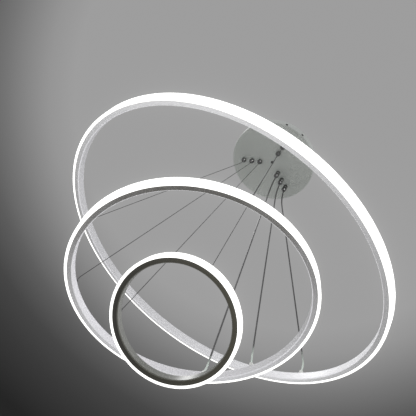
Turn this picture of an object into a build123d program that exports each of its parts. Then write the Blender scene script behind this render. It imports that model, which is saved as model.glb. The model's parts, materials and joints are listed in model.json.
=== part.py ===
"""Three-ring LED chandelier, hung from one ceiling canopy on nine lines.

Millimetres. The origin lies on the ceiling, at the centre of the ceiling bracket's top face, with +Z up.
+X runs along the ceiling bracket and through the first row of wire grippers.
"""
import os
from math import cos, degrees, pi, radians, sin
from typing import NamedTuple

from build123d import *

# ---------------------------------------------------------------- driving dimensions: light rings
large_diameter = 600.0
middle_diameter = 400.0
small_diameter = 200.0

# Height of each ring's underside centre below the ceiling, as the lines are set.
large_drop = 461.0
middle_drop = 559.0
small_drop = 621.0

# Tilt of each ring, the azimuth its lowest side faces, and its turn about its own axis, in degrees.
large_tilt = 14.0
large_lean = 17.5
large_turn = -3.0
middle_tilt = 12.5
middle_lean = -108.0
middle_turn = 0.0
small_tilt = 23.0
small_lean = 162.5
small_turn = -2.0

profile_width = 13.0
profile_height = 16.0
diffuser_strip = 5.0          # width of the diffuser seen from below
frame_wall = 1.2              # back wall of the aluminium channel
flange_wall = 1.5             # top and bottom flanges of the channel
diffuser_wall = 1.8
frame_edge_radius = 0.7
frame_lip_radius = 2.0        # rounded inner lip of the underside
diffuser_edge_radius = 1.2
bead_width = 0.6              # bead on each flange that holds the diffuser's hook
bead_height = 0.5
hook_length = 1.8
hook_wall = 0.8
snap_clearance = 0.15
seam_gap = 0.2                # butt joint of the bent channel

strip_thickness = 0.4
strip_height = 8.0
chip_pitch = 25.0
chip_width = 2.8
chip_height = 3.5
chip_thickness = 0.8

splice_azimuth = 60.0
splice_length = 40.0
splice_thickness = 1.2
splice_width = 4.0
splice_screw_spacing = 24.0
splice_screw_radius = 1.0
splice_head_radius = 1.7
splice_head_height = 0.9

# ---------------------------------------------------------------- driving dimensions: canopy
canopy_diameter = 200.0
canopy_height = 22.0
canopy_sheet = 1.2
canopy_edge_radius = 2.0

bracket_width = 60.0
bracket_sheet = 1.5
bracket_arm_start = 66.0      # where the four lug arms leave the plate
lug_width = 14.0
lug_length = 18.0
lug_azimuth = 12.5
slot_spacing = 70.0
slot_length = 20.0
slot_width = 4.5
post_radius = 5.0
centre_screw_radius = 2.0
centre_screw_engagement = 9.0
centre_head_radius = 3.5
centre_head_height = 2.0
centre_slot_width = 0.9
side_screw_radius = 1.5
side_screw_length = 7.0
side_head_radius = 2.8
side_head_height = 1.6
side_slot_width = 0.8
side_screw_rise = 7.0         # above the canopy's lower face

# ---------------------------------------------------------------- driving dimensions: lines and grips
outer_grip_radius = 70.0
middle_grip_radius = 50.0
inner_grip_radius = 30.0
wire_row_azimuths = {"a": 0.0, "b": 240.0}
feed_row_azimuth = 120.0

wire_diameter = 1.2
feed_diameter = 3.0
line_clearance = 0.3          # around a line where it runs through metal

ball_radius = 6.0
ball_collar_radius = 4.6
ball_collar_height = 1.2
gripper_stud_radius = 4.0
gripper_stud_length = 8.0
gripper_bore_radius = 3.5
gripper_lip = 1.6             # metal left below the bore, which keeps the plunger in
plunger_radius = 2.5
plunger_flange_radius = 3.2
plunger_flange_height = 1.2
plunger_reach = 3.0           # how far the release tip stands out below the ball
plunger_travel = 2.0
plunger_edge_radius = 0.8
spring_pressed_length = 5.15
spring_radius = 2.5
spring_wire = 0.5
nut_height = 3.0
nut_wall = 3.0                # metal of a hexagon nut outside its thread, across flats

cord_grip_radius = 5.5
cord_grip_body_length = 12.0
cord_grip_nose_length = 7.0
cord_grip_nose_radius = 3.6
cord_grip_chamfer = 0.5
cord_cap_length = 11.0
cord_cap_edge_radius = 3.5
cord_stud_radius = 4.5
cord_stud_length = 8.0

anchor_radius = 2.8
anchor_height = 6.0
anchor_shank_radius = 1.5
anchor_head_radius = 2.0
anchor_head_height = 1.2
anchor_chamfer = 0.6
gland_radius = 3.6
gland_height = 7.0
gland_shank_radius = 2.15
gland_chamfer = 1.0

wire_bend_radius = 12.0
feed_bend_radius = 80.0
feed_foot_bend_radius = 26.0
wire_straight = 6.0           # from a grip's mouth, or an anchor, to the bend in a wire
feed_straight = 30.0          # the same below a cord grip
feed_foot_straight = 11.0     # the same above a ring's gland
line_tail = 2.0               # line left above the gripper's stud

# ---------------------------------------------------------------- driving dimensions: driver and terminal block
driver_length = 88.0
driver_width = 38.0
driver_height = 15.0
driver_offset = 62.0          # from the canopy's axis, opposite the first wire row
driver_wall = 1.5
lid_thickness = 1.5
lid_chamfer = 0.5
terminal_length = 30.0
terminal_width = 16.0
terminal_height = 12.0
terminal_offset = 58.0
terminal_azimuth = 300.0
terminal_poles = 3
terminal_entry_radius = 1.8
terminal_screw_radius = 2.0
terminal_well_floor = 1.0     # left between a wire entry and the screw well above it

seat_gap = 0.3
thread_clearance = 0.1
hole_clearance = 0.15
cut_margin = 1.0              # how far a cutting tool runs past the face it opens

# ---------------------------------------------------------------- derived sizes
canopy_radius = canopy_diameter / 2
canopy_face = -canopy_height
canopy_floor = canopy_face + canopy_sheet
canopy_inner_radius = canopy_radius - canopy_sheet
flange_depth = profile_width - diffuser_strip
hook_step = bead_height + 2 * snap_clearance
feed_bore = feed_diameter / 2 + line_clearance
wire_bore = wire_diameter / 2 + line_clearance
ball_centre = canopy_face - ball_radius
gripper_mouth = canopy_face - 2 * ball_radius
bore_floor = gripper_mouth + gripper_lip
plunger_tip = gripper_mouth - plunger_reach
flange_floor = bore_floor + snap_clearance
spring_floor = flange_floor + plunger_flange_height + snap_clearance
spring_roof = spring_floor + plunger_travel + spring_pressed_length
bore_roof = spring_roof + snap_clearance
cord_body_floor = canopy_face - cord_grip_body_length
cord_cap_roof = cord_body_floor - seat_gap
cord_mouth = cord_cap_roof - cord_cap_length
wire_top = canopy_face + gripper_stud_length + line_tail
feed_top = canopy_face + cord_stud_length + line_tail


class Ring(NamedTuple):
    name: str
    diameter: float
    drop: float
    tilt: float
    lean: float
    turn: float
    grip_radius: float

    @property
    def radius(self):
        return self.diameter / 2

    @property
    def place(self):
        """Location of the ring's underside centre, tilted towards its lean and turned on its axis."""
        toward = radians(self.lean)
        tilted = Location((0, 0, -self.drop), (-sin(toward), cos(toward), 0), self.tilt)
        return tilted * Location((0, 0, 0), (0, 0, 1), self.turn)

    @property
    def line_radius(self):
        """Radius, in the ring, of the middle of the free space inside the channel's top flange."""
        back = self.radius - profile_width + frame_wall
        hook = self.radius - diffuser_strip - bead_width - hook_length - snap_clearance
        return (back + hook) / 2


RINGS = [
    Ring("large", large_diameter, large_drop, large_tilt, large_lean, large_turn, outer_grip_radius),
    Ring("middle", middle_diameter, middle_drop, middle_tilt, middle_lean, middle_turn, middle_grip_radius),
    Ring("small", small_diameter, small_drop, small_tilt, small_lean, small_turn, inner_grip_radius),
]

parts = {}


# ---------------------------------------------------------------- helpers
STANDING = (Align.CENTER, Align.CENTER, Align.MIN)


def polar(radius, azimuth, z=0.0):
    return Vector(radius * cos(radians(azimuth)), radius * sin(radians(azimuth)), z)


def at(radius, azimuth, z=0.0):
    """Location at a polar place, with local X pointing away from the axis."""
    return Location((0, 0, z), (0, 0, 1), azimuth) * Pos(radius, 0, 0)


def rod(radius, bottom, top):
    return Pos(0, 0, bottom) * Cylinder(radius, top - bottom, align=STANDING)


def block(x_size, y_size, bottom, top):
    return Pos(0, 0, bottom) * Box(x_size, y_size, top - bottom, align=STANDING)


def hexagon(inner_radius, bottom, top):
    """Hexagonal prism measured to its flats."""
    outline = RegularPolygon(inner_radius, 6, major_radius=False)
    return Pos(0, 0, bottom) * extrude(outline, top - bottom)


def lathe(points, rounds=()):
    """Solid turned from (radius, height) points, with some corners rounded: (point index, radius)."""
    outline = make_face(Polyline(points, close=True))
    for index, radius in rounds:
        corner = Vector(*points[index])
        nearest = outline.vertices().sort_by(lambda vertex: (Vector(vertex.X, vertex.Y) - corner).length)[0]
        outline = fillet(nearest, radius)
    return revolve(Plane.XZ * outline, Axis.Z)


def tube(points, radii, diameter, name):
    """Round line along straight runs joined by tangent arcs; prints its length and checks its volume."""
    path = FilletPolyline(*points, radius=list(radii))
    start = Plane(origin=path @ 0, z_dir=path % 0)
    solid = sweep(start * Circle(diameter / 2), path=path)
    share = solid.volume / (pi * diameter**2 / 4 * path.length)
    arcs = ", ".join(f"{radius:.1f}" for radius in radii)
    print(f"{name}: length {path.length:.1f}, arc radii {arcs}, volume share {share:.4f}")
    return solid


def group(solids):
    return Compound(children=list(solids))


# ---------------------------------------------------------------- light rings
def channel(ring):
    """Bent aluminium channel, open outwards, with a bead inside each flange's edge."""
    back = ring.radius - profile_width
    face = back + frame_wall
    edge = ring.radius - diffuser_strip
    bead = edge - bead_width
    low = flange_wall
    high = profile_height - flange_wall
    points = [
        (back, 0),
        (edge, 0),
        (edge, low + bead_height),
        (bead, low + bead_height),
        (bead, low),
        (face, low),
        (face, high),
        (bead, high),
        (bead, high - bead_height),
        (edge, high - bead_height),
        (edge, profile_height),
        (back, profile_height),
    ]
    solid = lathe(points, [(0, frame_lip_radius), (11, frame_edge_radius)])
    seam_centre = at(ring.radius - profile_width + flange_depth / 2, splice_azimuth)
    solid -= seam_centre * block(2 * profile_width, seam_gap, -profile_height, 2 * profile_height)
    above = profile_height + cut_margin
    anchor_hole = rod(anchor_shank_radius + hole_clearance, high - cut_margin, above)
    for azimuth in wire_row_azimuths.values():
        solid -= at(ring.line_radius, azimuth) * anchor_hole
    feed_hole = rod(gland_shank_radius + hole_clearance, high - cut_margin, above)
    solid -= at(ring.line_radius, feed_row_azimuth) * feed_hole
    screw_hole = rod(splice_screw_radius + hole_clearance, high - cut_margin, above)
    screw_hole += rod(splice_head_radius + hole_clearance, profile_height - splice_head_height, above)
    for place in splice_places(ring):
        solid -= place * screw_hole
    return solid


def diffuser(ring):
    """Opal cover: outer wall, two returns, and a hook on each that snaps behind the channel's bead."""
    outside = ring.radius
    inside = outside - diffuser_wall
    lip = outside - diffuser_strip + snap_clearance
    tip = lip - snap_clearance - bead_width - hook_length
    catch = lip - snap_clearance - bead_width - snap_clearance
    hook_low = flange_wall + hook_step
    hook_high = hook_low + hook_wall
    barb_low = flange_wall + snap_clearance
    lower = [
        (outside, 0),
        (lip, 0),
        (lip, hook_low),
        (catch, hook_low),
        (catch, barb_low),
        (tip, barb_low),
        (tip, hook_high),
        (lip + hook_wall, hook_high),
        (lip + hook_wall + flange_wall, flange_wall),
        (inside, flange_wall),
    ]
    upper = [(radius, profile_height - height) for radius, height in reversed(lower)]
    points = lower + upper
    return lathe(points, [(0, diffuser_edge_radius), (len(points) - 1, diffuser_edge_radius)])


def led_strip(ring):
    inner = ring.radius - profile_width + frame_wall + snap_clearance
    low = (profile_height - strip_height) / 2
    strip = rod(inner + strip_thickness, low, low + strip_height)
    return strip - rod(inner, low - cut_margin, low + strip_height + cut_margin)


def led_chips(ring):
    back = ring.radius - profile_width + frame_wall + snap_clearance + strip_thickness
    count = int(2 * pi * back / chip_pitch)
    low = (profile_height - chip_height) / 2
    sagitta = back - (back**2 - (chip_width / 2) ** 2) ** 0.5
    radius = back + chip_thickness / 2 + snap_clearance - sagitta
    chip = block(chip_thickness, chip_width, low, low + chip_height)
    return group(at(radius, 360 * (index + 0.5) / count) * chip for index in range(count))


def splice_places(ring):
    spread = degrees(splice_screw_spacing / 2 / ring.line_radius)
    return [at(ring.line_radius, splice_azimuth + side * spread) for side in (-1, 1)]


def splice_plate(ring):
    """Curved plate under the top flange, across the channel's butt joint."""
    top = profile_height - flange_wall - snap_clearance
    bottom = top - splice_thickness
    middle = ring.line_radius
    half_angle = degrees(splice_length / 2 / middle)
    points = [
        (middle - splice_width / 2, bottom),
        (middle + splice_width / 2, bottom),
        (middle + splice_width / 2, top),
        (middle - splice_width / 2, top),
    ]
    outline = Plane.XZ * make_face(Polyline(points, close=True))
    solid = Rot(0, 0, splice_azimuth - half_angle) * revolve(outline, Axis.Z, 2 * half_angle)
    for place in splice_places(ring):
        solid -= place * rod(splice_screw_radius + thread_clearance, bottom - cut_margin, top + cut_margin)
    return solid


def splice_screws(ring):
    bottom = profile_height - flange_wall - snap_clearance - splice_thickness
    shank = rod(splice_screw_radius, bottom, profile_height - splice_head_height)
    head = rod(splice_head_radius, profile_height - splice_head_height, profile_height)
    return group(place * (shank + head) for place in splice_places(ring))


def wire_anchors(ring):
    """Turned anchor on the top flange for each wire, riveted through it, with a blind hole for the wire."""
    top = profile_height + anchor_height
    inside = profile_height - flange_wall - snap_clearance
    anchor = rod(anchor_radius, profile_height, top)
    anchor = chamfer(anchor.edges().group_by(Axis.Z)[-1], anchor_chamfer)
    anchor += rod(anchor_shank_radius, inside - anchor_head_height, profile_height)
    anchor += rod(anchor_head_radius, inside - anchor_head_height, inside)
    anchor -= rod(wire_bore, profile_height - flange_wall, top + cut_margin)
    return group(at(ring.line_radius, azimuth) * anchor for azimuth in wire_row_azimuths.values())


def feed_gland(ring):
    top = profile_height + gland_height
    inside = profile_height - flange_wall - snap_clearance
    gland = rod(gland_radius, profile_height, top)
    gland = chamfer(gland.edges().group_by(Axis.Z)[-1], gland_chamfer)
    gland += rod(gland_shank_radius, inside, profile_height)
    gland -= rod(feed_diameter / 2 + hole_clearance, inside - cut_margin, top + cut_margin)
    return at(ring.line_radius, feed_row_azimuth) * gland


def build_rings():
    makers = {
        "frame": channel,
        "diffuser": diffuser,
        "led_strip": led_strip,
        "led_chips": led_chips,
        "splice_plate": splice_plate,
        "splice_screws": splice_screws,
        "wire_anchors": wire_anchors,
        "feed_gland": feed_gland,
    }
    for ring in RINGS:
        for piece, maker in makers.items():
            parts[f"{ring.name}_{piece}"] = ring.place * maker(ring)


# ---------------------------------------------------------------- canopy, bracket and their screws
def grip_places(azimuth):
    return {ring.name: at(ring.grip_radius, azimuth) for ring in RINGS}


def side_places():
    """Locations of the four side screws, with local X pointing outwards."""
    height = canopy_face + side_screw_rise
    return [at(0, base + side * lug_azimuth, height) for base in (0, 180) for side in (-1, 1)]


def canopy_cover():
    points = [
        (0, canopy_face),
        (canopy_radius, canopy_face),
        (canopy_radius, 0),
        (canopy_inner_radius, 0),
        (canopy_inner_radius, canopy_floor),
        (0, canopy_floor),
    ]
    inner_edge = max(canopy_edge_radius - canopy_sheet, canopy_sheet / 4)
    cover = lathe(points, [(1, canopy_edge_radius), (4, inner_edge)])
    below = canopy_face - cut_margin
    above = canopy_floor + cut_margin
    for azimuth in wire_row_azimuths.values():
        for place in grip_places(azimuth).values():
            cover -= place * rod(gripper_stud_radius + hole_clearance, below, above)
    for place in grip_places(feed_row_azimuth).values():
        cover -= place * rod(cord_stud_radius + hole_clearance, below, above)
    cover -= rod(centre_screw_radius + hole_clearance, below, above)
    inside = canopy_inner_radius - 2 * cut_margin
    side_hole = Rot(0, 90, 0) * rod(side_screw_radius + hole_clearance, inside, canopy_radius + cut_margin)
    for place in side_places():
        cover -= place * side_hole
    return cover


def ceiling_bracket():
    """Ceiling plate with two slots, four bent lugs for the side screws and a post for the centre screw."""
    lug_face = canopy_inner_radius - seat_gap - (lug_width / 2) ** 2 / (2 * canopy_inner_radius)
    plate = block(2 * bracket_arm_start + lug_width, bracket_width, -bracket_sheet, 0)
    for place in side_places():
        outward = Location((0, 0, 0), (0, 0, 1), place.orientation.Z)
        arm_length = lug_face - bracket_arm_start
        arm_middle = bracket_arm_start + arm_length / 2
        arm = Pos(arm_middle, 0, 0) * block(arm_length, lug_width, -bracket_sheet, 0)
        lug = Pos(lug_face - bracket_sheet / 2, 0, 0) * block(bracket_sheet, lug_width, -lug_length, 0)
        plate += outward * (arm + lug)
    plate += rod(post_radius, canopy_floor + seat_gap, -bracket_sheet / 2)
    hole_top = canopy_face + centre_screw_engagement + seat_gap
    plate -= rod(centre_screw_radius + thread_clearance, canopy_floor, hole_top)
    for side in (-1, 1):
        slot = extrude(SlotOverall(slot_length, slot_width), bracket_sheet + 2 * cut_margin)
        plate -= Pos(side * slot_spacing / 2, 0, -bracket_sheet - cut_margin) * slot
    tapped_radius = side_screw_radius + thread_clearance
    lug_hole = Rot(0, 90, 0) * rod(tapped_radius, bracket_arm_start, canopy_inner_radius)
    for place in side_places():
        plate -= place * lug_hole
    return plate


def centre_screw():
    head = rod(centre_head_radius, canopy_face - centre_head_height, canopy_face)
    head = fillet(head.edges().group_by(Axis.Z)[0], 0.8 * centre_head_height)
    slot_floor = canopy_face - centre_head_height / 2
    head -= block(centre_slot_width, 2 * centre_head_radius, slot_floor - centre_head_height, slot_floor)
    return head + rod(centre_screw_radius, canopy_face, canopy_face + centre_screw_engagement)


def side_screw():
    """Screw along +Z, its head's seat at the canopy's outer radius."""
    head = rod(side_head_radius, canopy_radius, canopy_radius + side_head_height)
    head = fillet(head.edges().group_by(Axis.Z)[-1], 0.7 * side_head_height)
    top = canopy_radius + side_head_height
    slot = block(side_slot_width, 2 * side_head_radius, top - side_head_height / 2, top + cut_margin)
    return head - slot + rod(side_screw_radius, canopy_radius - side_screw_length, canopy_radius)


def build_canopy():
    parts["canopy_cover"] = canopy_cover()
    parts["ceiling_bracket"] = ceiling_bracket()
    parts["centre_screw"] = centre_screw()
    parts["side_screws"] = group(place * Rot(0, 90, 0) * side_screw() for place in side_places())


# ---------------------------------------------------------------- wire grippers and cord grips
def hex_nut(thread_radius):
    nut = hexagon(thread_radius + nut_wall, canopy_floor, canopy_floor + nut_height)
    top = canopy_floor + nut_height + cut_margin
    return nut - rod(thread_radius + thread_clearance, canopy_floor - cut_margin, top)


def gripper_body():
    """Ball gripper: a ball on a collar under the canopy, a stud through it, and a bore for the plunger."""
    body = Pos(0, 0, ball_centre) * Sphere(ball_radius)
    body += rod(ball_collar_radius, canopy_face - ball_collar_height, canopy_face)
    body += rod(gripper_stud_radius, canopy_face, canopy_face + gripper_stud_length)
    body -= rod(gripper_bore_radius, bore_floor, bore_roof)
    body -= rod(plunger_radius + snap_clearance, gripper_mouth - cut_margin, bore_floor + cut_margin)
    body -= rod(wire_bore, bore_roof - cut_margin, canopy_face + gripper_stud_length + cut_margin)
    return body


def plunger():
    """Release sleeve around the wire, kept in the ball by its flange."""
    top = flange_floor + plunger_flange_height
    sleeve = rod(plunger_radius, plunger_tip, top)
    sleeve = fillet(sleeve.edges().group_by(Axis.Z)[0], plunger_edge_radius)
    sleeve += rod(plunger_flange_radius, flange_floor, top)
    return sleeve - rod(wire_bore, plunger_tip - cut_margin, top + cut_margin)


def plunger_spring():
    outer = rod(spring_radius + spring_wire / 2, spring_floor, spring_roof)
    return outer - rod(spring_radius - spring_wire / 2, spring_floor - cut_margin, spring_roof + cut_margin)


def cord_grip_body():
    """Chromed grip for a feed cable: a barrel under the canopy, a threaded nose below, a stud above."""
    body = rod(cord_grip_radius, cord_body_floor, canopy_face)
    body = chamfer(body.edges().group_by(Axis.Z)[0], cord_grip_chamfer)
    body += rod(cord_grip_nose_radius, cord_body_floor - cord_grip_nose_length, cord_body_floor)
    body += rod(cord_stud_radius, canopy_face, canopy_face + cord_stud_length)
    low = cord_body_floor - cord_grip_nose_length - cut_margin
    return body - rod(feed_bore, low, canopy_face + cord_stud_length + cut_margin)


def cord_grip_cap():
    """Rounded clamp cap that screws over the nose of the grip."""
    cap = rod(cord_grip_radius, cord_mouth, cord_cap_roof)
    cap = fillet(cap.edges().group_by(Axis.Z)[0], cord_cap_edge_radius)
    nose_end = cord_body_floor - cord_grip_nose_length - seat_gap
    cap -= rod(cord_grip_nose_radius + seat_gap, nose_end, cord_cap_roof + cut_margin)
    return cap - rod(feed_bore, cord_mouth - cut_margin, cord_cap_roof)


def build_grips():
    wire_places = {
        f"{name}_{row}": place
        for row, azimuth in wire_row_azimuths.items()
        for name, place in grip_places(azimuth).items()
    }
    feed_places = grip_places(feed_row_azimuth)
    parts["gripper_bodies"] = group(place * gripper_body() for place in wire_places.values())
    parts["gripper_nuts"] = group(place * hex_nut(gripper_stud_radius) for place in wire_places.values())
    for name, place in wire_places.items():
        parts[f"plunger_{name}"] = place * plunger()
        parts[f"spring_{name}"] = place * plunger_spring()
    parts["cord_grip_bodies"] = group(place * cord_grip_body() for place in feed_places.values())
    parts["cord_grip_nuts"] = group(place * hex_nut(cord_stud_radius) for place in feed_places.values())
    for name, place in feed_places.items():
        parts[f"cord_grip_cap_{name}"] = place * cord_grip_cap()


# ---------------------------------------------------------------- suspension wires and feed cables
def line_points(ring, azimuth, top, mouth_bend, foot, foot_bend):
    """Route of a taut line: down through its grip, straight to the ring, square into the ring's top."""
    grip = polar(ring.grip_radius, azimuth)
    in_ring = [polar(ring.line_radius, azimuth, height) for height in (foot_bend, foot)]
    on_ring = [(ring.place * Pos(*point)).position for point in in_ring]
    return [Vector(grip.X, grip.Y, top), Vector(grip.X, grip.Y, mouth_bend), *on_ring]


def build_lines():
    anchor_top = profile_height + anchor_height
    gland_top = profile_height + gland_height
    for ring in RINGS:
        for row, azimuth in wire_row_azimuths.items():
            points = line_points(
                ring,
                azimuth,
                wire_top,
                plunger_tip - wire_straight,
                profile_height - flange_wall + seat_gap,
                anchor_top + wire_straight,
            )
            name = f"wire_{ring.name}_{row}"
            parts[name] = tube(points, [wire_bend_radius] * 2, wire_diameter, name)
        points = line_points(
            ring,
            feed_row_azimuth,
            feed_top,
            cord_mouth - feed_straight,
            profile_height - 2 * flange_wall,
            gland_top + feed_foot_straight,
        )
        name = f"feed_{ring.name}"
        parts[name] = tube(points, [feed_bend_radius, feed_foot_bend_radius], feed_diameter, name)


# ---------------------------------------------------------------- driver and terminal block
driver_floor = canopy_floor + seat_gap
driver_top = driver_floor + driver_height
terminal_floor = canopy_floor + seat_gap


def driver_case():
    case = block(driver_width, driver_length, driver_floor, driver_top - lid_thickness)
    hollow = block(
        driver_width - 2 * driver_wall,
        driver_length - 2 * driver_wall,
        driver_floor + driver_wall,
        driver_top,
    )
    case -= hollow
    return Pos(-driver_offset, 0, 0) * case


def driver_lid():
    lid = block(driver_width, driver_length, driver_top - lid_thickness, driver_top)
    lid = chamfer(lid.edges().group_by(Axis.Z)[-1], lid_chamfer)
    rim = block(
        driver_width - 2 * driver_wall - 2 * seat_gap,
        driver_length - 2 * driver_wall - 2 * seat_gap,
        driver_top - 2 * lid_thickness,
        driver_top - lid_thickness,
    )
    return Pos(-driver_offset, 0, 0) * (lid + rim)


def terminal_block():
    """Insulated block with a screw over each wire entry."""
    body = block(terminal_width, terminal_length, terminal_floor, terminal_floor + terminal_height)
    entry_height = terminal_floor + terminal_height / 3
    pitch = terminal_length / terminal_poles
    for pole in range(terminal_poles):
        across = (pole - (terminal_poles - 1) / 2) * pitch
        entry = Rot(0, 90, 0) * rod(terminal_entry_radius, -terminal_width, terminal_width)
        body -= Pos(0, across, entry_height) * entry
        well_floor = entry_height + terminal_entry_radius + terminal_well_floor
        screw_well = rod(terminal_screw_radius, well_floor, terminal_floor + terminal_height + cut_margin)
        body -= Pos(0, across, 0) * screw_well
    return at(terminal_offset, terminal_azimuth) * body


# ---------------------------------------------------------------- build
build_rings()
build_canopy()
build_grips()
build_lines()
parts["driver_case"] = driver_case()
parts["driver_lid"] = driver_lid()
parts["terminal_block"] = terminal_block()

os.makedirs("parts", exist_ok=True)
for node, shape in parts.items():
    export_step(shape, f"parts/{node}.step")
print(len(parts), "nodes")
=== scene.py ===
"""Studio scene of a three-ring LED chandelier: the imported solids, dressed with materials and fine pieces.

Metres. The origin lies on the ceiling, at the centre of the ceiling bracket, with +Z up.
"""
import json
from math import cos, pi, radians, sin
from typing import NamedTuple

import bpy
from mathutils import Matrix, Vector


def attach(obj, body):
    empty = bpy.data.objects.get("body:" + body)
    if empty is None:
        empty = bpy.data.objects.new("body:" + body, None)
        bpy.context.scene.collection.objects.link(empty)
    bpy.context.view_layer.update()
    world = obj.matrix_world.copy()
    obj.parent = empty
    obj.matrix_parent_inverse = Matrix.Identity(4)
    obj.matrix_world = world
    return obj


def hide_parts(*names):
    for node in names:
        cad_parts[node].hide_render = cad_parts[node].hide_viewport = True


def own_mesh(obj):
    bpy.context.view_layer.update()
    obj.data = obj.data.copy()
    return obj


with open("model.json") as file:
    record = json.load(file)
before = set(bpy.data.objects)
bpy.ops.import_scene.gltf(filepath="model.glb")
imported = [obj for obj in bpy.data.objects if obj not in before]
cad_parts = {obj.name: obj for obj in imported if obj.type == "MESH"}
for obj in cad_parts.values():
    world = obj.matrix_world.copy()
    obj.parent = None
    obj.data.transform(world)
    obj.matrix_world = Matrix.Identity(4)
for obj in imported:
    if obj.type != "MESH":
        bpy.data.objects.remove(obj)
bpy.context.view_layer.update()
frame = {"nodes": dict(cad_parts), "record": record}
SLOTS = {entry["node"]: entry["material_slot"] for entry in frame["record"]["subparts"]}

MM = 0.001
UP = Vector((0, 0, 1))

# ---------------------------------------------------------------- sizes of the model
PROFILE_WIDTH = 13 * MM
PROFILE_HEIGHT = 16 * MM
DIFFUSER_STRIP = 5 * MM                   # width of the lit strip on a ring's underside
FRAME_WALL = 1.2 * MM
FLANGE_WALL = 1.5 * MM
COVER_WALL = 1.8 * MM
COVER_EDGE = 1.2 * MM                     # radius of a cover's rounded edges
BEAD_WIDTH = 0.6 * MM
BEAD_HEIGHT = 0.5 * MM
HOOK_LENGTH = 1.8 * MM
HOOK_WALL = 0.8 * MM
SNAP = 0.15 * MM                          # clearance between the cover and the profile
ANCHOR_HEIGHT = 6 * MM
GLAND_HEIGHT = 7 * MM

WIRE_ROWS = {"a": 0.0, "b": 240.0}        # azimuths in degrees
FEED_ROW = 120.0
WIRE_DIAMETER = 1.2 * MM
LINE_TOP = -12 * MM                       # upper end of every line, inside the canopy
FEED_BEND = -75.3 * MM
ANCHOR_STRAIGHT = 6 * MM                  # a wire stands upright this far above its anchor
GLAND_STRAIGHT = 11 * MM                  # and a feed cable this far above its gland

SPRING_FLOOR = -30.9 * MM
SPRING_ROOF = -23.75 * MM
SPRING_RADIUS = 2.5 * MM
SPRING_WIRE = 0.5 * MM
SPRING_TURNS = 6

TERMINAL_CENTRE = 58 * MM
TERMINAL_AZIMUTH = 300.0
TERMINAL_PITCH = 10 * MM
TERMINAL_WELL_FLOOR = -13.7 * MM
TERMINAL_SCREW_RADIUS = 1.8 * MM
TERMINAL_SCREW_HEIGHT = 2.2 * MM
TERMINAL_SCREW_TURN = 0.7                 # radians from one screw to the next


class Ring(NamedTuple):
    """One ring: sizes in metres, angles in degrees."""

    name: str
    radius: float
    drop: float                           # from the ceiling to the centre of its underside
    tilt: float
    lean: float                           # azimuth of its lowest place
    turn: float                           # about its own axis, which turns the feet of its lines
    grip_radius: float                    # of the circle on the canopy where its lines come out
    travel: float                         # how far it can be raised

    @property
    def place(self):
        """From the ring's own frame, with its underside at z = 0, to the model's frame."""
        toward = radians(self.lean)
        tilt_axis = Vector((-sin(toward), cos(toward), 0))
        lowered = Matrix.Translation((0, 0, -self.drop))
        tilted = lowered @ Matrix.Rotation(radians(self.tilt), 4, tilt_axis)
        return tilted @ Matrix.Rotation(radians(self.turn), 4, "Z")

    @property
    def line_radius(self):
        """Radius of the lines' feet, midway between the profile's back and the cover's hooks."""
        back = self.radius - PROFILE_WIDTH + FRAME_WALL
        hook = self.radius - DIFFUSER_STRIP - BEAD_WIDTH - HOOK_LENGTH - SNAP
        return (back + hook) / 2


RINGS = [
    Ring("large", 300 * MM, 461 * MM, 14.0, 17.5, -3.0, 70 * MM, 0.25),
    Ring("middle", 200 * MM, 559 * MM, 12.5, -108.0, 0.0, 50 * MM, 0.19),
    Ring("small", 100 * MM, 621 * MM, 23.0, 162.5, -2.0, 30 * MM, 0.30),
]


class LineKind(NamedTuple):
    """What the lines of one kind share. Heights count from the ceiling, those of the foot from the underside."""

    slot: str
    diameter: float
    exit: float                           # lower end of the fitting that guides it
    mouth: float                          # lower end of the last piece round it; what lies above stays in place
    bend: float                           # corner below the grip
    spread: float                         # from that corner to the point that keeps the long run straight
    foot_bend: float                      # corner above the ring
    foot: float
    step: float                           # length of one facet


WIRE = LineKind(
    slot="wire_rope",
    diameter=WIRE_DIAMETER,
    exit=-37 * MM,                        # the gripper's release sleeve
    mouth=-37 * MM,
    bend=-43 * MM,
    spread=6 * WIRE_DIAMETER,
    foot_bend=PROFILE_HEIGHT + ANCHOR_HEIGHT + ANCHOR_STRAIGHT,
    foot=PROFILE_HEIGHT - FLANGE_WALL + 0.3 * MM,
    step=0.8 * MM,
)
FEED = LineKind(
    slot="feed_sheath",
    diameter=3.0 * MM,
    exit=-41 * MM,                        # the cord grip's threaded nose
    mouth=-45.3 * MM,                     # its cap
    bend=FEED_BEND,
    spread=LINE_TOP - FEED_BEND,
    foot_bend=PROFILE_HEIGHT + GLAND_HEIGHT + GLAND_STRAIGHT,
    foot=PROFILE_HEIGHT - 2 * FLANGE_WALL,
    step=3 * MM,
)
ROPE_STRANDS = 6
ROPE_LAY = 7 * MM                         # length in which the rope turns once
ROPE_DIP = 0.86                           # reach between two strands, as a share of the rope's radius

# ---------------------------------------------------------------- fineness of the meshes
SPLINE_SAMPLES = 48                       # in each span of a line's spline
FEED_SIDES = 20
COVER_STEP = 8 * MM                       # length of a cover's facets, hidden by its smooth shading
COVER_STRIP_STEPS = 3
ROUND_STEPS = 6
CREASE = radians(35)                      # edges sharper than this stay sharp
SPRING_STEPS = 20                         # in each turn
SPRING_SIDES = 8
SCREW_SIDES = 32
PARALLEL = 1e-9                           # two directions whose cross product is shorter are the same


# ---------------------------------------------------------------- node helpers
def grey(level):
    return (level, level, level)


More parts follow.
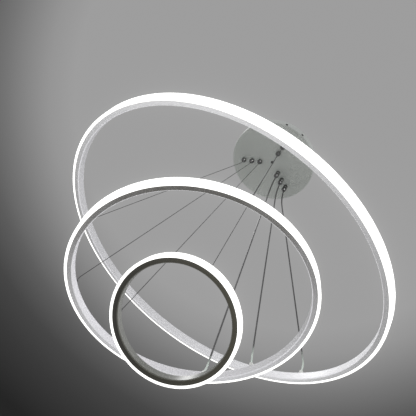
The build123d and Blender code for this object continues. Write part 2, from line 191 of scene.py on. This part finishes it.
class NodeTree:
    """Short calls that add nodes to a tree and link them. A value is a number, a colour or another node's output."""

    COLOUR_A, COLOUR_B, COLOUR_RESULT = 6, 7, 2     # a Mix node's colour sockets, whose names aren't unique

    def __init__(self, tree):
        self.nodes = tree.nodes
        self.links = tree.links

    def node(self, kind, inputs=(), **settings):
        made = self.nodes.new(kind)
        for name, value in settings.items():
            setattr(made, name, value)
        for key, value in dict(inputs).items():
            if isinstance(value, bpy.types.NodeSocket):
                self.links.new(value, made.inputs[key])
            else:
                made.inputs[key].default_value = value
        return made

    def math(self, operation, *values):
        return self.node("ShaderNodeMath", dict(enumerate(values)), operation=operation).outputs["Value"]

    def remap(self, value, start, end, low=0.0, high=1.0):
        """Goes from low to high as the value goes from start to end, and stays there."""
        inputs = {"Value": value, "From Min": start, "From Max": end, "To Min": low, "To Max": high}
        return self.node("ShaderNodeMapRange", inputs).outputs["Result"]

    def ramp(self, factor, stops):
        made = self.node("ShaderNodeValToRGB", {"Fac": factor})
        elements = made.color_ramp.elements
        for index, (position, colour) in enumerate(stops):
            element = elements[index] if index < 2 else elements.new(position)
            element.position = position
            element.color = (*colour, 1.0)
        return made.outputs["Color"]

    def mix(self, factor, first, second):
        """Goes from the first colour to the second as the factor goes from 0 to 1."""
        first, second = ((*value, 1.0) if isinstance(value, tuple) else value for value in (first, second))
        inputs = {"Factor": factor, self.COLOUR_A: first, self.COLOUR_B: second}
        return self.node("ShaderNodeMix", inputs, data_type="RGBA").outputs[self.COLOUR_RESULT]


class Shader(NodeTree):
    """A Principled material under construction."""

    def __init__(self, name):
        self.material = bpy.data.materials.new(name)
        self.material.use_nodes = True
        super().__init__(self.material.node_tree)
        self.bsdf = self.nodes["Principled BSDF"]

    def set(self, **values):
        for name, value in values.items():
            self.bsdf.inputs[name.replace("_", " ")].default_value = value
        return self

    def feed(self, source, name):
        self.links.new(source, self.bsdf.inputs[name])

    def object_coords(self):
        return self.node("ShaderNodeTexCoord").outputs["Object"]

    def noise(self, coords, scale, detail=4.0, roughness=0.55):
        inputs = {"Vector": coords, "Scale": scale, "Detail": detail, "Roughness": roughness}
        return self.node("ShaderNodeTexNoise", inputs).outputs["Fac"]

    def spread(self, noise, low, high):
        """Noise, most of which lies between 0.25 and 0.75, spread over the whole range from low to high."""
        return self.remap(noise, 0.25, 0.75, low, high)

    def tones(self, noise, dark, light):
        """Colour that wanders from dark to light with the noise."""
        return self.ramp(noise, [(0.3, dark), (0.7, light)])

    def bump(self, height, distance):
        inputs = {"Height": height, "Distance": distance}
        self.feed(self.node("ShaderNodeBump", inputs).outputs["Normal"], "Normal")


# ---------------------------------------------------------------- materials
MOTTLE = 0.06                             # change of tone over a plain finish, up and down
GRAIN = 900.0


def shade(colour, factor):
    return tuple(min(1.0, channel * factor) for channel in colour)


def mottled(name, colour, roughness, metallic=0.0, scale=60.0, depth=0.02 * MM):
    """Plain finish with a slight change of tone over its surface, fine grain and uneven gloss."""
    made = Shader(name).set(Metallic=metallic)
    coords = made.object_coords()
    tone = made.noise(coords, scale)
    made.feed(made.tones(tone, shade(colour, 1 - MOTTLE), shade(colour, 1 + MOTTLE)), "Base Color")
    made.feed(made.spread(made.noise(coords, scale * 2.3), *roughness), "Roughness")
    made.bump(made.noise(coords, GRAIN, 2.0), depth)
    return made.material


def ring_coords(made, ring):
    """Azimuth, radius and height of a point in the ring's own frame, which ride with the ring's mesh."""
    back = ring.place.inverted()
    mapping = made.node("ShaderNodeMapping", {"Vector": made.object_coords()})
    mapping.inputs["Location"].default_value = back.translation
    mapping.inputs["Rotation"].default_value = back.to_euler("XYZ")
    split = made.node("ShaderNodeSeparateXYZ", {"Vector": mapping.outputs["Vector"]})
    x, y, z = (split.outputs[axis] for axis in "XYZ")
    azimuth = made.math("ARCTAN2", y, x)
    radius = made.math("SQRT", made.math("ADD", made.math("MULTIPLY", x, x), made.math("MULTIPLY", y, y)))
    return azimuth, radius, z


class PaintedLightSweep(NamedTuple):
    """Painted light and shade round a ring: its tone where it is darkest and lightest, and the azimuth of the
    lightest place, in degrees.
    """

    dark: tuple
    light: tuple
    painted_light_azimuth: float
    lobes: int = 1                        # how many lightest places there are, evenly spaced


# Painted light and shade on the rings' undersides: light that the lower rings throw on the large and middle rings,
# and deep painted shade on the small ring, which nothing below lights.
PAINTED_UNDERSIDE_LIGHT = {
    "large": PaintedLightSweep((0.50, 0.50, 0.51), (0.97, 0.97, 0.99), -25.0, 2),
    "middle": PaintedLightSweep((0.11, 0.105, 0.095), (0.90, 0.90, 0.93), 155.0),
    "small": PaintedLightSweep((0.008, 0.007, 0.001), (0.042, 0.037, 0.016), 50.0),
}
# Painted highlight on the rounded inner lip of the large and middle rings, where the rings inside light it; painted
# shade on the small ring's lip.
PAINTED_LIP_LIGHT = {"large": (0.97, 0.97, 1.0), "middle": (0.95, 0.95, 0.98), "small": (0.10, 0.10, 0.08)}
# Painted light and shade on the rings' inner walls: each ring's lightest side faces the light that falls on it, and
# the small ring's wall is painted dark because little light reaches it.
PAINTED_WALL_LIGHT = {
    "large": PaintedLightSweep((0.68, 0.68, 0.70), (0.93, 0.93, 0.95), 85.0),
    "middle": PaintedLightSweep((0.55, 0.55, 0.56), (0.97, 0.96, 1.0), 240.0),
    "small": PaintedLightSweep((0.10, 0.105, 0.09), (0.25, 0.255, 0.235), 240.0),
}
LIP_START = 0.08 * MM                     # height at which the underside's tone changes to the lip's
LIP_START_BLUR = 0.15 * MM
WALL_START = 2.0 * MM                     # height at which the lip's tone changes to the wall's
WALL_START_BLUR = 0.3 * MM
DRAWN_ALONG = 4.0                         # drawing lines: noise in each radian along the profile
DRAWN_ACROSS = 600.0                      # and in each metre across it


def profile_lacquer_painted_light(ring):
    """Satin lacquer over drawn aluminium, with painted light and shade: tones that change round the ring and from
    ring to ring, and a painted lip tone at the inner edge; faint lines run along the profile.
    """
    made = Shader(f"profile_lacquer_{ring.name}").set(Metallic=0.05, Coat_Weight=0.05, Coat_Roughness=0.25)
    azimuth, radius, height = ring_coords(made, ring)
    inputs = {
        "X": made.math("MULTIPLY", azimuth, DRAWN_ALONG),
        "Y": made.math("MULTIPLY", radius, DRAWN_ACROSS),
        "Z": made.math("MULTIPLY", height, DRAWN_ACROSS),
    }
    drawn = made.node("ShaderNodeCombineXYZ", inputs).outputs["Vector"]
    lines = made.noise(drawn, 1.0, 3.0)
    cloud = made.spread(made.noise(made.object_coords(), 35.0, 3.0), -0.06, 0.06)

    # Painted light and shade: lightest at the sweep's azimuth, darkest between, with a little random tone.
    def painted_light_tone(sweep):
        turn = made.math("SUBTRACT", azimuth, radians(sweep.painted_light_azimuth))
        wave = made.math("COSINE", made.math("MULTIPLY", turn, sweep.lobes))
        painted_lightness = made.math("ADD", made.math("MULTIPLY", wave, 0.5), 0.5)
        return made.ramp(made.math("ADD", painted_lightness, cloud), [(0.0, sweep.dark), (1.0, sweep.light)])

    at_lip = made.remap(height, LIP_START, LIP_START + LIP_START_BLUR)
    at_wall = made.remap(height, WALL_START, WALL_START + WALL_START_BLUR)
    # Painted light and shade of the underside, the inner lip and the inner wall.
    below = made.mix(at_lip, painted_light_tone(PAINTED_UNDERSIDE_LIGHT[ring.name]), PAINTED_LIP_LIGHT[ring.name])
    made.feed(made.mix(at_wall, below, painted_light_tone(PAINTED_WALL_LIGHT[ring.name])), "Base Color")
    made.feed(made.spread(lines, 0.34, 0.40), "Roughness")
    return made.material


GLOW = 6.0                                # emission strength of the lit covers
GLOW_CLOUD = 0.02                         # its slow change over a cover, up and down
GLOW_RIPPLE = 0.015                       # its change from chip to chip
LIP_GLOW = 0.01                           # its share at the cover's lips, where no light reaches the edge
LIP_FADE = 0.8 * MM
CHIP_PITCH = 25 * MM


def lit_opal(ring):
    """Opal plastic lit from inside, very slightly brighter in front of each chip of the light strip."""
    made = Shader(f"lit_opal_{ring.name}").set(Roughness=0.45, Emission_Color=(1.0, 1.0, 0.965, 1.0))
    azimuth, radius, _ = ring_coords(made, ring)
    chips = 2 * pi * ring.radius / CHIP_PITCH
    wave = made.math("COSINE", made.math("MULTIPLY", azimuth, chips))
    ripple = made.math("MULTIPLY", wave, GLOW_RIPPLE * GLOW)
    cloud = made.noise(made.object_coords(), 50.0, 2.0)
    cloudy = made.spread(cloud, (1 - GLOW_CLOUD) * GLOW, (1 + GLOW_CLOUD) * GLOW)
    lip = ring.radius - DIFFUSER_STRIP + SNAP
    fade = made.remap(radius, lip, lip + LIP_FADE, LIP_GLOW)
    made.feed(made.math("MULTIPLY", made.math("ADD", ripple, cloudy), fade), "Emission Strength")
    made.feed(made.tones(cloud, (0.90, 0.90, 0.87), (0.95, 0.95, 0.93)), "Base Color")
    made.material.cycles.emission_sampling = "NONE"
    return made.material


def polished_chrome():
    """Chrome with a faint haze, painted dark as a painted reflection: what it mirrors in the photograph is dark."""
    made = Shader("polished_chrome").set(Metallic=1.0)
    haze = made.noise(made.object_coords(), 220.0)
    # Dark base colour: painted reflection of dark surroundings.
    made.feed(made.tones(haze, grey(0.10), grey(0.14)), "Base Color")
    made.feed(made.spread(haze, 0.05, 0.13), "Roughness")
    return made.material


def zinc_plate():
    """Zinc plated sheet steel with the faint spangle of its coating."""
    made = Shader("zinc_plate").set(Metallic=0.9)
    coords = made.object_coords()
    spangle = made.node("ShaderNodeTexVoronoi", {"Vector": coords, "Scale": 260.0}).outputs["Distance"]
    made.feed(made.ramp(spangle, [(0.1, (0.50, 0.51, 0.52)), (0.8, (0.64, 0.65, 0.66))]), "Base Color")
    made.feed(made.spread(made.noise(coords, 90.0), 0.28, 0.45), "Roughness")
    made.bump(made.noise(coords, 1400.0, 2.0), 0.008 * MM)
    return made.material


def canopy_paint():
    """Satin paint with a fine orange-peel skin, in a mid grey that is partly the paint's own colour and partly
    painted shade.
    """
    made = Shader("canopy_paint").set(Metallic=0.15, Coat_Weight=0.15, Coat_Roughness=0.3)
    coords = made.object_coords()
    # Grey tones set darker than the canopy's own colour, as painted shade.
    made.feed(made.tones(made.noise(coords, 14.0, 3.0), (0.345, 0.365, 0.345), (0.38, 0.40, 0.38)), "Base Color")
    made.feed(made.spread(made.noise(coords, 120.0), 0.38, 0.50), "Roughness")
    made.bump(made.noise(coords, 700.0, 2.0), 0.02 * MM)
    return made.material


PAINTED_RING_LIGHT_LENGTH = 45 * MM                    # pale end of each feed cable, painted light from the ring, measured upwards
# Pale colour of that end: painted light from the ring.
PAINTED_RING_LIGHT = (0.62, 0.70, 0.64)
SHEATH = (0.055, 0.055, 0.055)


def feed_sheath(name, foot):
    """Dark grey flexible sheath; its last stretch above the ring is painted pale: painted light that the ring throws
    on it.
    """
    made = Shader(name).set(Coat_Weight=0.2, Coat_Roughness=0.2)
    coords = made.object_coords()
    height = made.node("ShaderNodeSeparateXYZ", {"Vector": coords}).outputs["Z"]
    # Mask of the painted ring light, fading out upwards.
    above = made.remap(height, foot + PAINTED_RING_LIGHT_LENGTH / 2, foot + PAINTED_RING_LIGHT_LENGTH)
    patchy = made.math("ADD", above, made.spread(made.noise(coords, 40.0), -0.05, 0.05))
    made.feed(made.ramp(patchy, [(0.0, PAINTED_RING_LIGHT), (1.0, SHEATH)]), "Base Color")
    made.feed(made.spread(made.noise(coords, 90.0), 0.30, 0.42), "Roughness")
    return made.material


def steel_rope():
    """Fine steel rope, painted nearly black as painted shade: the photograph shows it nearly black against the
    light.
    """
    made = Shader("steel_rope").set(Metallic=0.2)
    grime = made.noise(made.object_coords(), 500.0)
    # Near-black tones: painted shade of a rope seen against the light; the noise varies them at random.
    made.feed(made.tones(grime, grey(0.010), grey(0.025)), "Base Color")
    made.feed(made.spread(grime, 0.35, 0.55), "Roughness")
    return made.material


def materials_by_slot():
    """Finish for each of the record's material slots, apart from the profiles, which have their own."""
    return {
        "chrome": polished_chrome(),
        "zinc_steel": zinc_plate(),
        "canopy_paint": canopy_paint(),
        "wire_rope": steel_rope(),
        "feed_sheath": mottled("feed_sheath", grey(0.06), roughness=(0.30, 0.42), scale=40.0),
        "dark_screw": mottled("dark_screw", grey(0.045), roughness=(0.3, 0.45), metallic=0.8),
        "spring_steel": mottled("spring_steel", (0.5, 0.5, 0.48), roughness=(0.2, 0.35), metallic=1.0),
        "led_strip": mottled("led_strip", (0.82, 0.82, 0.79), roughness=(0.3, 0.4)),
        "led_chip": mottled("led_chip", (0.92, 0.82, 0.35), roughness=(0.15, 0.25), scale=300.0),
        "gland_nylon": mottled("gland_nylon", (0.72, 0.73, 0.70), roughness=(0.4, 0.55)),
        "driver_plastic": mottled("driver_plastic", (0.84, 0.84, 0.81), roughness=(0.42, 0.55), depth=0.04 * MM),
        "terminal_nylon": mottled("terminal_nylon", (0.78, 0.78, 0.72), roughness=(0.35, 0.5)),
        "opal_diffuser": mottled("opal_back", (0.85, 0.85, 0.83), roughness=(0.4, 0.5)),
        "brass": mottled("brass", (0.75, 0.58, 0.28), roughness=(0.2, 0.35), metallic=1.0, scale=300.0),
    }


def dress_solids(finishes):
    """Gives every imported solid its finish: a profile its own, and any other the one of its slot."""
    own = {f"{ring.name}_frame": profile_lacquer_painted_light(ring) for ring in RINGS}
    for node, solid in frame["nodes"].items():
        solid.data.materials.clear()
        solid.data.materials.append(own.get(node) or finishes[SLOTS[node]])


# ---------------------------------------------------------------- mesh helpers
def mesh_piece(name, vertices, faces, material, body="canopy", smooth=True):
    mesh = bpy.data.meshes.new(name)
    mesh.from_pydata([tuple(vertex) for vertex in vertices], [], faces)
    mesh.materials.append(material)
    if smooth:
        mesh.shade_smooth()
    piece = bpy.data.objects.new(name, mesh)
    bpy.context.scene.collection.objects.link(piece)
    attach(piece, body)
    return piece


def at_azimuth(degrees, radius):
    return Matrix.Rotation(radians(degrees), 3, "Z") @ Vector((radius, 0, 0))


def circle(radius, count):
    """Points evenly spaced on a circle round the origin."""
    return [(radius * cos(2 * pi * k / count), radius * sin(2 * pi * k / count)) for k in range(count)]


def smooth_line(points):
    """Points along a smooth curve that has the given points as its control points."""
    curve = bpy.data.curves.new("route", "CURVE")
    curve.dimensions = "3D"
    curve.resolution_u = SPLINE_SAMPLES
    spline = curve.splines.new("NURBS")
    spline.points.add(len(points) - 1)
    for control, point in zip(spline.points, points):
        control.co = (*point, 1.0)
    spline.order_u = 3
    spline.use_endpoint_u = True
    carrier = bpy.data.objects.new("route", curve)
    bpy.context.scene.collection.objects.link(carrier)
    bpy.context.view_layer.update()
    evaluated = carrier.evaluated_get(bpy.context.evaluated_depsgraph_get())
    sampled = bpy.data.meshes.new_from_object(evaluated)
    line = [vertex.co.copy() for vertex in sampled.vertices]
    bpy.data.objects.remove(carrier)
    bpy.data.curves.remove(curve)
    bpy.data.meshes.remove(sampled)
    return line


def even_steps(line, step):
    """The same line with points about a step apart."""
    along = [0.0]
    for before, after in zip(line, line[1:]):
        along.append(along[-1] + (after - before).length)
    count = max(2, round(along[-1] / step))
    stepped = []
    segment = 0
    for index in range(count + 1):
        target = along[-1] * index / count
        while segment < len(line) - 2 and along[segment + 1] < target:
            segment += 1
        share = (target - along[segment]) / (along[segment + 1] - along[segment])
        stepped.append(line[segment].lerp(line[segment + 1], min(1.0, share)))
    return stepped


def swept(line, outline_at):
    """Vertices and faces of a closed tube: outline_at(distance) gives the section's 2-D points."""
    side = UP.cross(line[1] - line[0])
    if side.length < PARALLEL:
        side = Vector((1, 0, 0))
    vertices = []
    distance = 0.0
    for index, point in enumerate(line):
        ahead = line[min(index + 1, len(line) - 1)] - line[max(index - 1, 0)]
        ahead.normalize()
        side = (side - ahead * side.dot(ahead)).normalized()
        other = ahead.cross(side)
        if index:
            distance += (point - line[index - 1]).length
        vertices += [point + side * x + other * y for x, y in outline_at(distance)]
    count = len(vertices) // len(line)
    faces = []
    for low in range(0, len(vertices) - count, count):
        for corner in range(count):
            following = (corner + 1) % count
            faces.append((low + corner, low + following, low + count + following, low + count + corner))
    faces.append(tuple(reversed(range(count))))
    faces.append(tuple(range(len(vertices) - count, len(vertices))))
    return vertices, faces


def circle_outline(radius, sides):
    corners = circle(radius, sides)
    return lambda distance: corners


def rope_outline(radius):
    """Section of a stranded rope, which turns as it goes along: a crest on each strand, a dip between."""

    def outline(distance):
        turn = 2 * pi * distance / ROPE_LAY
        corners = []
        for k in range(2 * ROPE_STRANDS):
            reach = radius if k % 2 == 0 else ROPE_DIP * radius
            angle = turn + pi * k / ROPE_STRANDS
            corners.append((reach * cos(angle), reach * sin(angle)))
        return corners

    return outline


# ---------------------------------------------------------------- lit covers
def rounded(corner, before, after, radius):
    """Points of a quarter round that takes a square corner off."""
    toward_before = (Vector(before) - Vector(corner)).normalized() * radius
    toward_after = (Vector(after) - Vector(corner)).normalized() * radius
    centre = Vector(corner) + toward_before + toward_after
    turns = [pi / 2 * step / ROUND_STEPS for step in range(ROUND_STEPS + 1)]
    return [tuple(centre - toward_after * cos(turn) - toward_before * sin(turn)) for turn in turns]


def cover_outline(ring):
    """Section of a lit cover: the faces that show, from lip to lip, and then the hooks and inner faces."""
    outside = ring.radius
    inside = outside - COVER_WALL
    lip = outside - DIFFUSER_STRIP + SNAP
    tip = lip - SNAP - BEAD_WIDTH - HOOK_LENGTH
    catch = lip - 2 * SNAP - BEAD_WIDTH
    hook_low = FLANGE_WALL + BEAD_HEIGHT + 2 * SNAP
    hook_high = hook_low + HOOK_WALL
    barb = FLANGE_WALL + SNAP
    low, high = (outside, 0.0), (outside, PROFILE_HEIGHT)
    flat = outside - COVER_EDGE - lip
    strip = [(lip + flat * step / COVER_STRIP_STEPS, 0.0) for step in range(COVER_STRIP_STEPS)]
    shown = strip + rounded(low, (lip, 0.0), high, COVER_EDGE)
    shown += rounded(high, low, (lip, PROFILE_HEIGHT), COVER_EDGE)
    shown += [(radius, PROFILE_HEIGHT) for radius, _ in reversed(strip)]
    lower = [
        (lip, hook_low),
        (catch, hook_low),
        (catch, barb),
        (tip, barb),
        (tip, hook_high),
        (lip + HOOK_WALL, hook_high),
        (lip + HOOK_WALL + FLANGE_WALL, FLANGE_WALL),
        (inside, FLANGE_WALL),
    ]
    upper = [(radius, PROFILE_HEIGHT - height) for radius, height in lower]
    return shown, upper + list(reversed(lower))


def build_covers(finishes):
    """Lit cover of each ring: lit opal on the faces that show, plain opal on its hooks and inner faces."""
    for ring in RINGS:
        shown, hidden = cover_outline(ring)
        outline = shown + hidden
        sides = round(2 * pi * ring.radius / COVER_STEP)
        vertices = []
        for x, y in circle(1.0, sides):
            vertices += [ring.place @ Vector((radius * x, radius * y, height)) for radius, height in outline]
        count = len(outline)
        faces = []
        for k in range(sides):
            here, there = k * count, (k + 1) % sides * count
            for corner in range(count):
                following = (corner + 1) % count
                faces.append((here + corner, there + corner, there + following, here + following))
        piece = mesh_piece(f"{ring.name}_cover", vertices, faces, lit_opal(ring), f"{ring.name}_ring")
        piece.data.materials.append(finishes["opal_diffuser"])
        lit_faces = len(shown) - 1
        for index, face in enumerate(piece.data.polygons):
            face.material_index = 0 if index % count < lit_faces else 1
        piece.data.set_sharp_from_angle(angle=CREASE)
        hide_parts(f"{ring.name}_diffuser")


# ---------------------------------------------------------------- suspension wires and feed cables
def line_route(ring, azimuth, kind):
    """Control points of a taut line. The long straight stretch has a point near the corner at each end."""
    grip = at_azimuth(azimuth, ring.grip_radius)
    outward = at_azimuth(azimuth, ring.line_radius)
    top, corner = (grip + UP * height for height in (LINE_TOP, kind.bend))
    foot_corner, foot = (ring.place @ (outward + UP * height) for height in (kind.foot_bend, kind.foot))
    run = (foot_corner - corner).normalized()
    below_grip = corner + run * kind.spread
    above_ring = foot_corner - run * (foot - foot_corner).length
    return [top, corner, below_grip, above_ring, foot_corner, foot]


def taut_line(name, kind, points, outline, finish):
    """A line that stands for its CAD solid, on a mesh of its own."""
    line = even_steps(smooth_line(points), kind.step)
    piece = mesh_piece(name + "_line", *swept(line, outline), finish)
    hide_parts(name)
    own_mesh(piece)


def build_lines(finishes):
    for ring in RINGS:
        for row, azimuth in WIRE_ROWS.items():
            points = line_route(ring, azimuth, WIRE)
            points.insert(1, points[1] + UP * WIRE.spread)
            rope = rope_outline(WIRE.diameter / 2)
            taut_line(f"wire_{ring.name}_{row}", WIRE, points, rope, finishes["wire_rope"])
        points = line_route(ring, FEED_ROW, FEED)
        sheath = feed_sheath(f"feed_sheath_{ring.name}", points[-1].z)
        taut_line(f"feed_{ring.name}", FEED, points, circle_outline(FEED.diameter / 2, FEED_SIDES), sheath)


# ---------------------------------------------------------------- fine pieces in the canopy
def build_springs(finishes):
    """Coil inside each gripper, pressed towards its roof by the release sleeve."""
    low = SPRING_FLOOR + SPRING_WIRE / 2
    rise = SPRING_ROOF - SPRING_FLOOR - SPRING_WIRE
    steps = SPRING_TURNS * SPRING_STEPS
    for ring in RINGS:
        for row, azimuth in WIRE_ROWS.items():
            centre = at_azimuth(azimuth, ring.grip_radius)
            coil = []
            for index in range(steps + 1):
                angle = 2 * pi * SPRING_TURNS * index / steps
                around = Vector((SPRING_RADIUS * cos(angle), SPRING_RADIUS * sin(angle), 0))
                coil.append(centre + around + UP * (low + rise * index / steps))
            vertices, faces = swept(coil, circle_outline(SPRING_WIRE / 2, SPRING_SIDES))
            piece = mesh_piece(f"spring_coil_{ring.name}_{row}", vertices, faces, finishes["spring_steel"])
            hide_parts(f"spring_{ring.name}_{row}")
            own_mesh(piece)


def turned(points):
    """Vertices and faces of a solid turned about Z from (radius, height) points; ends at radius 0 close it."""
    vertices = []
    faces = []
    rows = []
    for radius, height in points:
        around = circle(radius, SCREW_SIDES) if radius else [(0, 0)]
        first = len(vertices)
        rows.append([first + k % len(around) for k in range(SCREW_SIDES)])
        vertices += [Vector((x, y, height)) for x, y in around]
    for lower, upper in zip(rows, rows[1:]):
        for k in range(SCREW_SIDES):
            following = (k + 1) % SCREW_SIDES
            corners = [lower[k], lower[following], upper[following], upper[k]]
            faces.append(tuple(dict.fromkeys(corners)))
    return vertices, faces


def screw_head(name, centre, radius, height, turn, finish):
    """Low cheese head with a bevelled rim and a round recess for the driver."""
    rim = 0.25 * height
    floor = height - 0.45 * height
    profile = [
        (0, 0),
        (radius, 0),
        (radius, height - rim),
        (radius - rim, height),
        (0.25 * radius, height),
        (0.2 * radius, floor),
        (0, floor),
    ]
    vertices, faces = turned(profile)
    placed = Matrix.Translation(centre) @ Matrix.Rotation(turn, 4, "Z")
    piece = mesh_piece(name, [placed @ vertex for vertex in vertices], faces, finish, smooth=False)


def build_terminal_screws(finishes):
    away = Matrix.Rotation(radians(TERMINAL_AZIMUTH), 4, "Z")
    for pole in (-1, 0, 1):
        screw_head(
            f"terminal_screw_{pole + 1}",
            away @ Vector((TERMINAL_CENTRE, pole * TERMINAL_PITCH, TERMINAL_WELL_FLOOR)),
            TERMINAL_SCREW_RADIUS,
            TERMINAL_SCREW_HEIGHT,
            pole * TERMINAL_SCREW_TURN,
            finishes["brass"],
        )


# ---------------------------------------------------------------- stage
# The camera is the one that the photograph's rings, canopy rim and line exits fit.
CAMERA_PLACE = Vector((549.2, -25.1, -1113.6)) * MM
CAMERA_FORWARD = Vector((-0.57534, -0.03493, 0.81717))
CAMERA_UP = Vector((0.68896, -0.55916, 0.46117))
IMAGE_SIDE = 416
FOCAL_PIXELS = 497
SENSOR = 36.0
NEAREST = 0.01

SURROUNDINGS = (0.86, 0.86, 0.87)
# The patch lies in the direction that the photograph looks in. Positions are cosines of the angle to its axis.
PATCH_CENTRE = Vector((-0.575, -0.035, 0.817))
PATCH_EDGE = [(0.822, 0.0), (0.858, 1.0)]
PATCH_BRIGHT_SIDE = Vector((-0.35, 0.0, 0.937))
PATCH_LEVELS = [
    (0.72, 0.019),
    (0.77, 0.042),
    (0.80, 0.061),
    (0.83, 0.11),
    (0.855, 0.18),
    (0.89, 0.30),
    (0.91, 0.34),
]
FLOOR_HALF = 40.0
FLOOR_HEIGHT = -3.0
BLOOM_THRESHOLD = 1.0
BLOOM_STRENGTH = 0.25
BLOOM_SIZE = 0.2
BRIGHTEST_SAMPLE = 1.3                    # keeps the edges of the lit covers smooth


class Lamp(NamedTuple):
    """Round soft light; its power is in watts."""

    name: str
    place: tuple
    target: tuple
    diameter: float
    power: float


ABOVE = Lamp("above", (-0.8, -1.2, 1.6), (0, 0, -0.3), 0.4, 15)
GLINT = Lamp("glint", (1.8, 0.3, -0.6), (0, 0, -0.5), 1.2, 100)


def build_camera():
    data = bpy.data.cameras.new("camera")
    data.sensor_width = SENSOR
    data.lens = FOCAL_PIXELS / IMAGE_SIDE * SENSOR
    data.clip_start = NEAREST
    camera = bpy.data.objects.new("camera", data)
    bpy.context.scene.collection.objects.link(camera)
    back = -CAMERA_FORWARD.normalized()
    right = CAMERA_UP.cross(back).normalized()
    turn = Matrix((right, back.cross(right), back)).transposed()
    camera.matrix_world = Matrix.Translation(CAMERA_PLACE) @ turn.to_4x4()
    bpy.context.scene.camera = camera


def build_world():
    """Pale surroundings. Behind the lamp, as the picture shows it, lies a grey patch that falls off to dark."""
    world = bpy.data.worlds.new("surroundings")
    bpy.context.scene.world = world
    world.use_nodes = True
    tree = NodeTree(world.node_tree)
    direction = tree.node("ShaderNodeTexCoord").outputs["Generated"]

    def by_angle(axis, stops):
        cosine = tree.node("ShaderNodeVectorMath", {0: direction, 1: axis}, operation="DOT_PRODUCT")
        return tree.ramp(cosine.outputs["Value"], [(position, grey(level)) for position, level in stops])

    patch = by_angle(PATCH_BRIGHT_SIDE, PATCH_LEVELS)
    colour = tree.mix(by_angle(PATCH_CENTRE, PATCH_EDGE), SURROUNDINGS, patch)
    tree.links.new(colour, tree.nodes["Background"].inputs["Color"])


def area_light(lamp):
    data = bpy.data.lights.new(lamp.name, "AREA")
    data.shape = "DISK"
    data.size = lamp.diameter
    data.energy = lamp.power
    light = bpy.data.objects.new(lamp.name, data)
    bpy.context.scene.collection.objects.link(light)
    light.location = lamp.place
    light.rotation_euler = (Vector(lamp.target) - Vector(lamp.place)).to_track_quat("-Z", "Y").to_euler()
    light.visible_camera = False
    return light


def build_lights():
    """One soft light from above, and one that reaches the chrome pieces alone and gives them their highlights."""
    area_light(ABOVE)
    chrome = bpy.data.collections.new("chrome_pieces")
    for node, solid in frame["nodes"].items():
        if SLOTS[node] == "chrome":
            chrome.objects.link(solid)
    area_light(GLINT).light_linking.receiver_collection = chrome


def build_floor():
    corners = [(x * FLOOR_HALF, y * FLOOR_HALF, FLOOR_HEIGHT) for x, y in ((-1, -1), (1, -1), (1, 1), (-1, 1))]
    mesh = bpy.data.meshes.new("floor")
    mesh.from_pydata(corners, [], [(0, 1, 2, 3)])
    made = Shader("floor_paint").set(Roughness=0.8)
    cloud = made.noise(made.object_coords(), 3.0)
    made.feed(made.tones(cloud, (0.78, 0.78, 0.77), (0.81, 0.81, 0.80)), "Base Color")
    mesh.materials.append(made.material)
    floor = bpy.data.objects.new("floor", mesh)
    bpy.context.scene.collection.objects.link(floor)


def build_bloom():
    """Soft halo round the lit rings."""
    scene = bpy.context.scene
    scene.use_nodes = True
    tree = NodeTree(scene.node_tree)
    tree.nodes.clear()
    inputs = {
        "Image": tree.node("CompositorNodeRLayers").outputs["Image"],
        "Threshold": BLOOM_THRESHOLD,
        "Strength": BLOOM_STRENGTH,
        "Size": BLOOM_SIZE,
    }
    glare = tree.node("CompositorNodeGlare", inputs, glare_type="BLOOM")
    tree.node("CompositorNodeComposite", {"Image": glare.outputs["Image"]})


def set_view():
    settings = bpy.context.scene.view_settings
    settings.view_transform = "Standard"
    settings.exposure = 0.0
    cycles = bpy.context.scene.cycles
    cycles.sample_clamp_direct = BRIGHTEST_SAMPLE
    cycles.sample_clamp_indirect = BRIGHTEST_SAMPLE
    cycles.denoising_input_passes = "RGB_ALBEDO"    # with normals as well, grain stays on the rings' thin bands


# ---------------------------------------------------------------- build
build_camera()
finishes = materials_by_slot()
build_lines(finishes)
dress_solids(finishes)
build_covers(finishes)
build_springs(finishes)
build_terminal_screws(finishes)
build_world()
build_lights()
build_floor()
build_bloom()
set_view()
